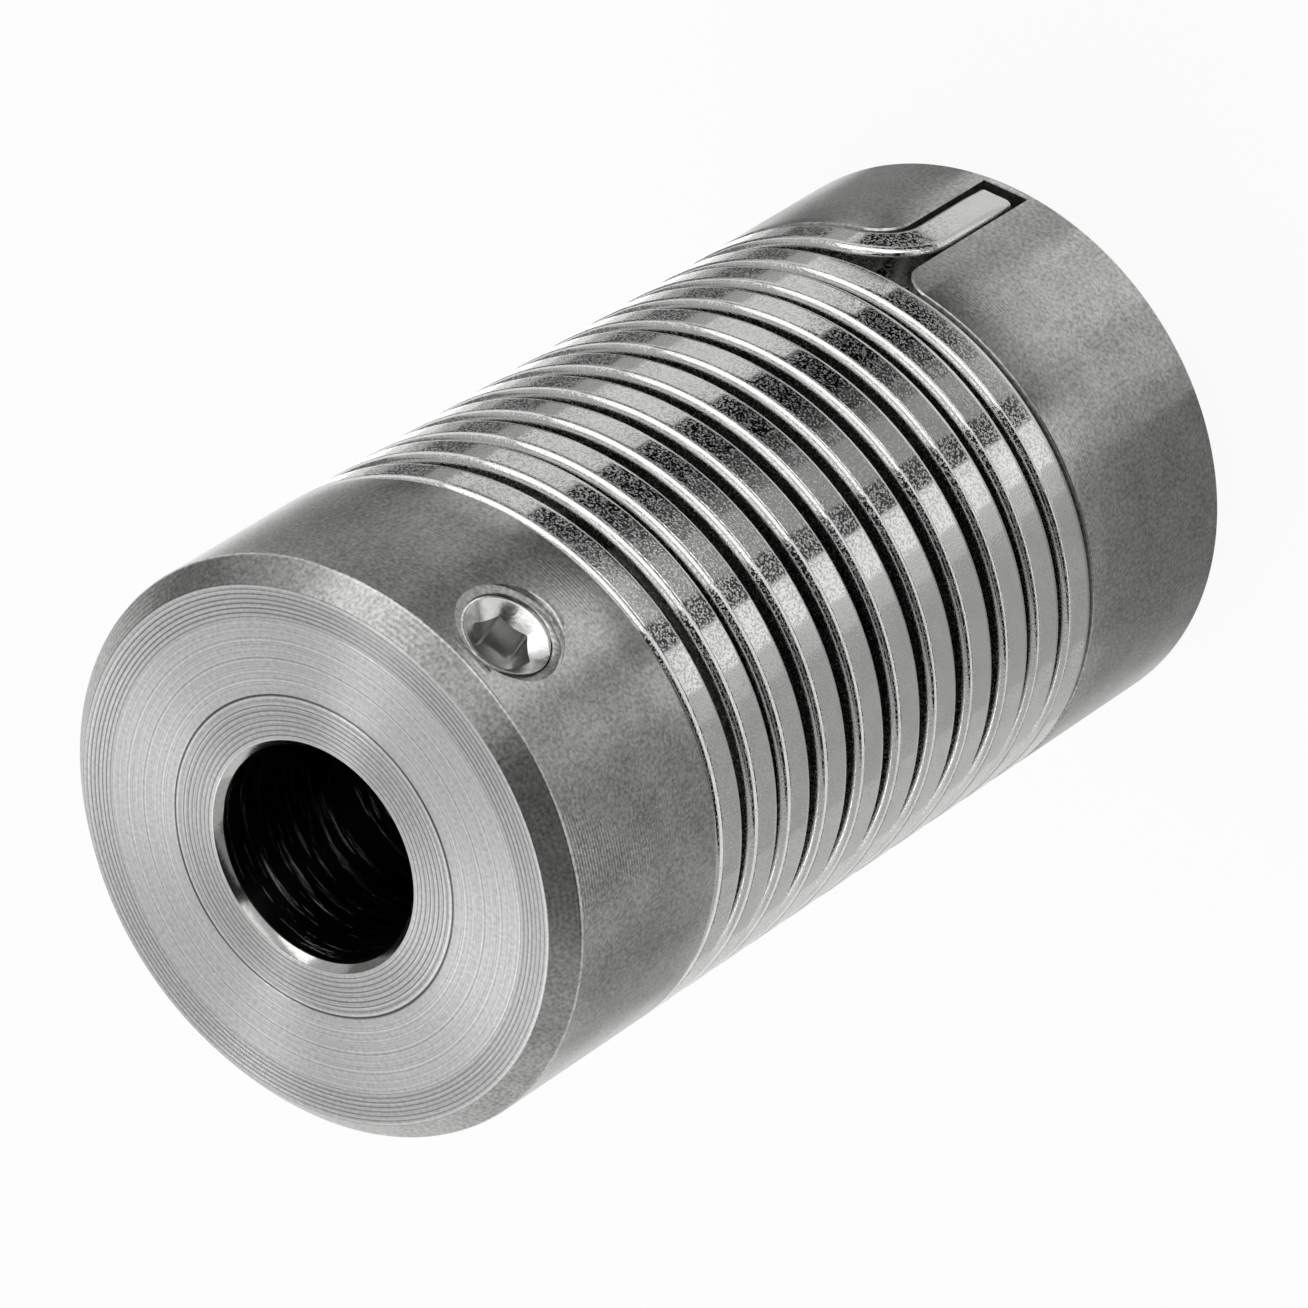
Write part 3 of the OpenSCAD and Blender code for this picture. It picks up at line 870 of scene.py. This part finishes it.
# %% Plated steel of the set screws
PLATING_WAVE, PLATING_DEPTH = 0.25, 0.01
plated, tree, shader, place = new_material("zinc_plated_steel")
waves = add(tree, "ShaderNodeTexNoise", {"Scale": per_mm(PLATING_WAVE), "Detail": 4.0, "Roughness": 0.6},
            {"Vector": place})
colour = add(tree, "ShaderNodeMix", {"data_type": "RGBA", 6: linear("#c2c2c0"), 7: linear("#e6e6e4")},
             {0: waves.outputs["Fac"]})
bump = add(tree, "ShaderNodeBump", {"Strength": 1.0, "Distance": PLATING_DEPTH * MM},
           {"Height": waves.outputs["Fac"]})
shader.inputs["Metallic"].default_value = 1.0
shader.inputs["Roughness"].default_value = 0.24
tree.links.new(colour.outputs[2], shader.inputs["Base Color"])
tree.links.new(bump.outputs["Normal"], shader.inputs["Normal"])
print(plated.name, "waves of", PLATING_WAVE, "mm")

# %% [markdown]
# ### Broached steel
#
# The socket was pushed out with a broach, which leaves it smooth. Its colour is a shade darker than
# the head's, so each flat shows one even tone.

# %% Broached steel of the socket
DRAG = 0.2
broached, tree, shader, place = new_material("broached_steel")
drag = add(tree, "ShaderNodeTexNoise", {"Scale": per_mm(DRAG), "Detail": 3.0}, {"Vector": place})
# Colour a shade darker than the plated head's
colour = add(tree, "ShaderNodeMix", {"data_type": "RGBA", 6: linear("#b8b8b6"), 7: linear("#d2d2d0")},
             {0: drag.outputs["Fac"]})
shader.inputs["Metallic"].default_value = 1.0
shader.inputs["Roughness"].default_value = 0.22
tree.links.new(colour.outputs[2], shader.inputs["Base Color"])
print(broached.name, "drag marks of", DRAG, "mm")

# %% [markdown]
# The hub carries four finishes. Each face of its mesh gets one by where it lies: the flat end, the bore,
# the bore's mouth, or the outside and the rest.

# %% Give each face its finish
# Places of three finishes in the hub's list of materials, and how squarely a faced part looks along the axis
FACED, BORED, SUNK = 1, 2, 3
FACES_END = 0.5
for hub in hubs:
    for material in (blasted, faced, bored, sunk):
        hub.data.materials.append(material)
    for face in hub.data.polygons:
        r = math.hypot(face.center.x, face.center.y) / MM
        from_end = min(face.center.z / MM, LENGTH - face.center.z / MM)
        if r < BORE_R + FACE_EDGE / 2:
            face.material_index = BORED
        elif r < BORE_R + BORE_CHAMFER and from_end < BORE_CHAMFER:
            face.material_index = SUNK
        elif from_end < 2 * EDGE_BREAK and r < HUB_R - RIM_CHAMFER and abs(face.normal.z) > FACES_END:
            face.material_index = FACED
    print(hub.name, "faced:", sum(face.material_index == FACED for face in hub.data.polygons), "faces")
for node, piece in springs.items():
    piece.data.materials.append(drawn if node == "outer_spring" else tempered)
for screw in screws:
    screw.data.materials.append(plated)
    screw.data.materials.append(broached)

# %% [markdown]
# ## Floor
#
# The coupling stands on a plain pale floor. It is close to white, so it renders as the white ground of
# the photograph and still keeps the coupling's shadow.

# %% Floor
FLOOR_HALF = 600
GROUND_WHITE = 0.93
FLOOR_Z = -0.01
FIBRE = 3.0
floor = mesh_piece("pale_floor", [(x * FLOOR_HALF, y * FLOOR_HALF, FLOOR_Z)
                                  for x, y in ((-1, -1), (1, -1), (1, 1), (-1, 1))], [(0, 1, 2, 3)])
paper, tree, shader, place = new_material("matt_white_paper")
fibre = add(tree, "ShaderNodeTexNoise", {"Scale": per_mm(FIBRE), "Detail": 3.0}, {"Vector": place})
colour = add(tree, "ShaderNodeMix", {"data_type": "RGBA", 6: linear("#fafafa"), 7: linear("#fdfdfd")},
             {0: fibre.outputs["Fac"]})
shader.inputs["Roughness"].default_value = 0.9
shader.inputs["Specular IOR Level"].default_value = 0.0
tree.links.new(colour.outputs[2], shader.inputs["Base Color"])
path = add(tree, "ShaderNodeLightPath")
seen = add(tree, "ShaderNodeMath", {"operation": "ADD"},
           {0: path.outputs["Is Camera Ray"], 1: path.outputs["Is Glossy Ray"]})
seen = add(tree, "ShaderNodeMath", {"operation": "ADD"},
           {0: seen.outputs[0], 1: path.outputs["Is Transmission Ray"]})
share = add(tree, "ShaderNodeMath", {"operation": "MULTIPLY", 1: GROUND_WHITE}, {0: seen.outputs[0]})
white = add(tree, "ShaderNodeEmission", {"Strength": 1.0})
ground = add(tree, "ShaderNodeMixShader",
             links={0: share.outputs[0], 1: shader.outputs[0], 2: white.outputs[0]})
tree.links.new(ground.outputs[0], tree.nodes["Material Output"].inputs["Surface"])
floor.data.materials.append(paper)
print("floor is", 2 * FLOOR_HALF, "mm wide")

# %% [markdown]
# ## Light
#
# A grey room and three soft boxes light the coupling. Two large ones stand across from the camera, on
# the side that the end face mirrors, and a small one hangs higher up.

# %% World and soft boxes
ROOM = 0.45
# Name, azimuth and elevation in degrees, distance and size in metres, power in watts
SOFT_BOXES = (("back_box", 84, 50, 0.7, (0.8, 0.6), 0.95),
              ("overhead_box", 31, 68, 0.7, (0.1, 0.1), 0.33),
              ("left_box", 109, 53, 0.7, (0.45, 0.45), 0.85))
world = bpy.data.worlds.new("grey_room")
bpy.context.scene.world = world
world.use_nodes = True
world.node_tree.nodes["Background"].inputs["Color"].default_value = (1, 1, 1, 1)
world.node_tree.nodes["Background"].inputs["Strength"].default_value = ROOM


def soft_box(name, azimuth, elevation, distance, size, power):
    lamp = bpy.data.lights.new(name, "AREA")
    lamp.shape, lamp.size, lamp.size_y = "RECTANGLE", size[0], size[1]
    lamp.energy = power
    box = bpy.data.objects.new(name, lamp)
    bpy.context.scene.collection.objects.link(box)
    a, e = math.radians(azimuth), math.radians(elevation)
    towards = Vector((math.cos(e) * math.cos(a), math.cos(e) * math.sin(a), math.sin(e)))
    box.location = towards * distance
    box.rotation_euler = towards.to_track_quat("Z", "Y").to_euler()
    return box


for box in SOFT_BOXES:
    soft_box(*box)
print("lamps:", [lamp.name for lamp in bpy.data.lights])

# %% [markdown]
# ## Cards on the floor
#
# From this high camera the upright sides of the coupling mirror only the floor. A photographer lays
# black, grey and white cards round a shiny cylinder to draw bands on it, and so does this cell. A point
# at angle t from the camera mirrors the floor in the direction 2t, so a card is a curved fan.

# %% Cards that draw the bands
CARD_LIFT = 0.1
CARD_STEPS = 10
CARD_OVER = 4.0
# How far out on the floor a point of the side mirrors, for each millimetre of its height
reach = 1 / math.tan(CAMERA_ELEVATION)


def toned_card(name, tone, points, faces):
    card = mesh_piece(name, points, faces)
    card.visible_camera = card.visible_diffuse = card.visible_shadow = card.visible_transmission = False
    material = bpy.data.materials.new(f"card_{name}")
    material.use_nodes = True
    material.node_tree.nodes.clear()
    glow = add(material.node_tree, "ShaderNodeEmission", {"Strength": tone})
    add(material.node_tree, "ShaderNodeOutputMaterial", links={"Surface": glow.outputs[0]})
    card.data.materials.append(material)
    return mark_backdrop(card)


def floor_card(name, tone, from_deg, to_deg, low_edge, high_edge, lift=CARD_LIFT):
    points = []
    for edge in (low_edge, high_edge):
        for t in np.radians(np.linspace(from_deg, to_deg, CARD_STEPS)):
            a, b = CAMERA_AZIMUTH - t, CAMERA_AZIMUTH - 2 * t
            points.append((HUB_R * math.cos(a) + edge(a) * reach * math.cos(b),
                           HUB_R * math.sin(a) + edge(a) * reach * math.sin(b), lift))
    faces = [(j, j + 1, CARD_STEPS + j + 1, CARD_STEPS + j) for j in range(CARD_STEPS - 1)]
    return toned_card(name, tone, points, faces)


# Angle from the camera from and to, positive on the left of a level camera, and tone
SPRING_CARDS = ((-90, -77, 1.8), (-77, -72, 0.85), (-72, -67, 0.38), (-67, -57, 0.08), (-57, -52, 0.4),
                (-52, -34, 0.8), (-34, -22, 0.0), (-22, -17, 0.04), (-17, -13, 0.15), (-13, -3, 0.32),
                (-3, 3, 0.05), (3, 12, 1.05), (12, 18, 0.6), (18, 50, 0.42), (50, 70, 0.56), (70, 90, 0.75))
UPPER_HUB_CARDS = ((-90, -77, 1.6), (-77, -71, 0.45), (-71, -56, 0.13), (-56, -24, 0.27), (-24, -17, 0.7),
                   (-17, -3, 2.2), (-3, 10, 0.2), (10, 37, 0.0), (37, 46, 0.36), (46, 60, 0.15),
                   (60, 74, 0.36), (74, 90, 1.1))
LOWER_HUB_CARDS = ((-90, -75, 1.1), (-75, -50, 0.33), (-50, -34, 0.75), (-34, -24, 0.6), (-24, -5, 0.88),
                   (-5, 9, 0.7), (9, 15, 0.5), (15, 54, 0.27), (54, 66, 0.34), (66, 74, 0.5), (74, 90, 0.85))
# The spring's cards begin and end a little on the hubs' side of the seats, and climb with them
SEAT_SHARE = 0.4
# The bend of the tang leans a little, so a card of its own keeps it darker than the turns beside it
TANG_FROM_DEG, TANG_TO_DEG, TANG_LOW, TANG_HIGH = -50, -36, 3.9, 6.6


def spring_low(a):
    return SEAT_H - SEAT_SHARE + SEAT_LEAD * ((a - math.radians(LOWER_A)) / (2 * math.pi) % 1)


def spring_high(a):
    return LENGTH - SEAT_H + SEAT_SHARE - SEAT_LEAD * ((math.radians(UPPER_A) - a) / (2 * math.pi) % 1)


CARD_GROUPS = (("lower_hub", LOWER_HUB_CARDS, lambda a: 0.0, spring_low),
               ("spring", SPRING_CARDS, spring_low, spring_high),
               ("upper_hub", UPPER_HUB_CARDS, spring_high, lambda a: LENGTH + CARD_OVER))
for group, cards, low_edge, high_edge in CARD_GROUPS:
    for from_deg, to_deg, tone in cards:
        floor_card(f"{group}_card_{from_deg + 90:03d}", tone, from_deg, to_deg, low_edge, high_edge)
floor_card("tang_bend_card", 0.0, TANG_FROM_DEG, TANG_TO_DEG, lambda a: TANG_LOW, lambda a: TANG_HIGH,
           2 * CARD_LIFT)
print("cards:", len(SPRING_CARDS) + len(UPPER_HUB_CARDS) + len(LOWER_HUB_CARDS) + 1)

# %% [markdown]
# ## Cards that stand round the coupling
#
# Round edges turn upwards from the side, so they mirror what stands round the table. White cards right
# of the camera draw the white lines along the wire. Dark cards on its left keep the other edges quiet,
# with a low pale strip under them that leaves a thin line there too. A dark apron lies on the floor in
# front of the white cards and sets those lines off from the wire's crown. Left and right are those of a
# level camera.

# %% Standing cards
WALL_R = 300.0
# Angle from the camera from and to, positive on the right of a level camera, elevation from and to, tone
WALL_CARDS = ((-160, -112, 0, 45, 0.75), (-112, -75, 0, 45, 0.5), (-75, 2, 0, 8, 0.8),
              (-75, 2, 8, 36, 0.01), (-70, -15, 36, 46, 0.28), (-15, 2, 36, 46, 0.02),
              (-75, 2, 46, 85, 0.01), (2, 45, 0, 30, 1.8), (2, 45, 30, 50, 0.55), (2, 60, 50, 75, 1.2),
              (45, 82, 0, 42, 1.8), (82, 112, 0, 45, 0.5), (112, 160, 0, 45, 0.18))
# The apron starts where the cards on the floor end
APRON_FROM_DEG, APRON_TO_DEG, APRON_TONE = 3, 85, 0.1
APRON_IN, APRON_OUT = HUB_R + (LENGTH + CARD_OVER) * reach, 75.0


def ring_card(name, tone, from_deg, to_deg, low, high):
    points = [(r * math.cos(CAMERA_AZIMUTH + a), r * math.sin(CAMERA_AZIMUTH + a), z) for r, z in (low, high)
              for a in np.radians(np.linspace(from_deg, to_deg, CARD_STEPS))]
    faces = [(j, j + 1, CARD_STEPS + j + 1, CARD_STEPS + j) for j in range(CARD_STEPS - 1)]
    return toned_card(name, tone, points, faces)


for from_deg, to_deg, low_deg, high_deg, tone in WALL_CARDS:
    ring_card(f"wall_card_{from_deg + 180:03d}_{low_deg:02d}", tone, from_deg, to_deg,
              (WALL_R, WALL_R * math.tan(math.radians(low_deg))),
              (WALL_R, WALL_R * math.tan(math.radians(high_deg))))
ring_card("right_apron", APRON_TONE, APRON_FROM_DEG, APRON_TO_DEG,
          (APRON_IN, CARD_LIFT), (APRON_OUT, CARD_LIFT))
print("standing cards:", len(WALL_CARDS))
